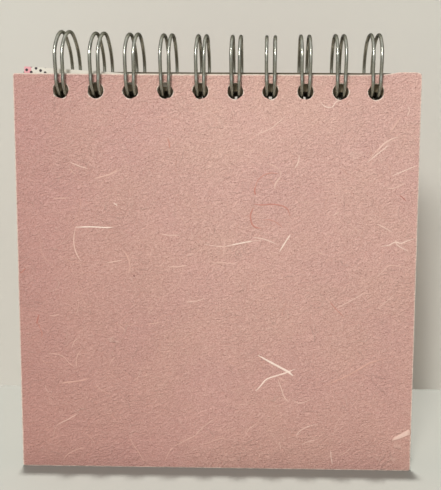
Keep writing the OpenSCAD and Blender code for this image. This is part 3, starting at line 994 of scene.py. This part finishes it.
choice = put(strewn_tree, "FunctionNodeRandomValue", {"Seed": 11}, data_type="INT")
choice.inputs[5].default_value = len(bows) - 1
size = put(strewn_tree, "FunctionNodeRandomValue", {2: 0.45, 3: 1.15, "Seed": 17}, data_type="FLOAT")
strewn = put(strewn_tree, "GeometryNodeInstanceOnPoints",
             {"Points": scatter.outputs[0], "Instance": family.outputs[0], "Pick Instance": True,
              "Instance Index": choice.outputs[2], "Rotation": spin.outputs[0], "Scale": size.outputs[1]})
shade = put(strewn_tree, "FunctionNodeRandomValue", {2: 0.44, 3: 0.68, "Seed": 29}, data_type="FLOAT")
toned = put(strewn_tree, "GeometryNodeStoreNamedAttribute",
            {"Geometry": strewn.outputs[0], "Name": "tone", "Value": shade.outputs[1]}, domain="INSTANCE")
close_tree(strewn_tree, toned.outputs[0], strand_fibre, result)


def strew_strands(name, place_on, body, seed):
    """Thin strands strewn over a cover, clear of its holes and of its cut edges."""
    base = bpy.data.meshes.new(name + "_field")
    base.from_pydata([(-66, 8, 0), (66, 8, 0), (66, 131, 0), (-66, 131, 0)], [], [(0, 1, 2, 3)])
    sizes = {"Density": 0.012, "Strand Width": 0.18, "Seed": seed}
    press_on(grow(name, base, strewn_tree, sizes), place_on, body)


strew_strands("front_strewn_strands", on_front, "front_cover", 4)
strew_strands("back_strewn_strands", on_back, "back_cover", 9)

flake_line = ((66.5, 11.6), (69.7, 12.5), (73.9, 14.4), (73.9, 15.8), (73.2, 16.6), (67.3, 13.0))
flake_middle = sum((Vector(point) for point in flake_line), Vector((0.0, 0.0))) / len(flake_line)
flake_corners = []
for share, lift in ((1.0, 0.0), (0.9, 0.06), (0.55, 0.1)):
    ring = [flake_middle.lerp(Vector(point), share) for point in flake_line]
    flake_corners += [on_front(point.x, point.y, lift) for point in ring]
flake_corners.append(on_front(*flake_middle, 0.11))
count = len(flake_line)
flake_faces = []
for low in (0, count):
    for start, end in closed_edges([flake_line]):
        flake_faces.append((low + start, low + end, low + count + end, low + count + start))
for start, end in closed_edges([flake_line]):
    flake_faces.append((2 * count + start, 2 * count + end, 3 * count))
flake_faces.append(tuple(reversed(range(count))))
flake_tones = [0.5] * count + [0.7] * count + [0.8] * (count + 1)
flake = make_piece("bark_flake", flake_corners, flake_faces, strand_fibre)
flake.data.attributes.new("tone", "FLOAT", "POINT").data.foreach_set("value", flake_tones)
flake.data.shade_smooth()
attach(flake, "front_cover")


# Table and backdrop. A plain pale table top, which is darker in mirrors and so shades the sides of the wire,
# and a plain pale screen behind the book that lets through what is seen or lit from its back.
def lay_stage(name, corners, finish):
    """A flat sheet under or behind the book."""
    sheet = make_piece(name, corners, [(0, 1, 2, 3)], finish)
    return sheet


table_top, tree, shader = start_finish("table_top", 0.3)[:3]
in_mirror = tree.nodes.new("ShaderNodeLightPath").outputs["Is Glossy Ray"]
table_colour = blend_colours(tree, in_mirror, paint(132, 132, 126), paint(104, 101, 94))
tree.links.new(table_colour, shader.inputs["Base Color"])
shader.inputs["Roughness"].default_value = 0.6
table = lay_stage("table", [(-2, -2, 0), (2, -2, 0), (2, 2, 0), (-2, 2, 0)], table_top)

screen, tree, shader = start_finish("screen", 0.1)[:3]
shader.inputs["Base Color"].default_value = paint(201, 199, 191)
shader.inputs["Roughness"].default_value = 0.9
clear = tree.nodes.new("ShaderNodeBsdfTransparent")
behind = tree.nodes.new("ShaderNodeNewGeometry").outputs["Backfacing"]
shadow = tree.nodes.new("ShaderNodeLightPath").outputs["Is Shadow Ray"]
let_through = reckon(tree, "MAXIMUM", behind, shadow)
mixed = put(tree, "ShaderNodeMixShader", {0: let_through, 1: shader.outputs[0], 2: clear.outputs[0]})
tree.links.new(mixed.outputs[0], tree.nodes["Material Output"].inputs["Surface"])
screen_left = (-0.6, 0.0840)
screen_right = (0.6, 0.0952)
screen_top = 0.45
lay_stage("screen", [(*screen_left, 0.0), (*screen_right, 0.0), (*screen_right, screen_top),
                     (*screen_left, screen_top)], screen)


# Light. A soft lamp high on the left in front, a tall narrow one nearer for glints on the wire, and a lamp
# behind that spares the table. An overhead light on the table alone draws the shadow at the book's foot. The
# room is pale and even, but darker to the sides in mirrors.
def hang_lamp(name, kind, spot, aim, power, mirrored=True, **shape):
    """A lamp at a spot, turned towards what it lights, of the shape and size given."""
    lamp = bpy.data.lights.new(name, kind)
    lamp.energy = power
    lamp.color = (1.0, 0.985, 0.96)
    for key, value in shape.items():
        setattr(lamp, key, value)
    holder = bpy.data.objects.new(name, lamp)
    holder.location = spot
    holder.rotation_euler = (Vector(aim) - Vector(spot)).to_track_quat("-Z", "Y").to_euler()
    holder.visible_glossy = mirrored
    bpy.context.scene.collection.objects.link(holder)
    return holder


def link_table(holder, name, state):
    """Lets a lamp light the table alone (INCLUDE), or everything but the table (EXCLUDE)."""
    chosen = bpy.data.collections.new(name)
    chosen.objects.link(table)
    chosen.collection_objects[0].light_linking.link_state = state
    holder.light_linking.receiver_collection = chosen


hang_lamp("front_lamp", "AREA", (-0.56, -1.9, 1.15), (0.0, 0.0, 0.13), 24.5,
          shape="RECTANGLE", size=0.38, size_y=0.38)
hang_lamp("glint_lamp", "AREA", (-0.12, -0.62, 0.78), (0.0, 0.0, 0.15), 2.6,
          shape="RECTANGLE", size=0.05, size_y=0.45)
overhead_light = hang_lamp("overhead_light", "SUN", (0.0, 0.0, 0.0), (0.012, -0.052, -1.0), 5.6,
                           mirrored=False, angle=math.radians(1.7))
link_table(overhead_light, "lit_stage", "INCLUDE")
back_lamp = hang_lamp("back_lamp", "AREA", (0.5, 1.7, 0.9), (0.0, 0.0, 0.08), 20.0,
                      mirrored=False, shape="RECTANGLE", size=0.6, size_y=0.6)
link_table(back_lamp, "spared_stage", "EXCLUDE")

room = bpy.data.worlds.new("room")
room.use_nodes = True
bpy.context.scene.world = room
tree = room.node_tree
light_path = tree.nodes.new("ShaderNodeLightPath")
way = axes(tree, tree.nodes.new("ShaderNodeTexCoord").outputs["Generated"])
sideways = reckon(tree, "ABSOLUTE", way[0])
mirrored = spread(tree, sideways, 0.15, 0.6, 1.0, 0.26)
direct = spread(tree, light_path.outputs["Is Camera Ray"], 0.0, 1.0, 0.4, 0.8)
glossy = light_path.outputs["Is Glossy Ray"]
level = put(tree, "ShaderNodeMix", {0: glossy, 2: direct, 3: mirrored}, data_type="FLOAT").outputs[0]
background = tree.nodes["Background"]
background.inputs["Color"].default_value = (1.0, 0.995, 0.98, 1.0)
tree.links.new(level, background.inputs["Strength"])

bpy.context.scene.view_settings.view_transform = "Standard"
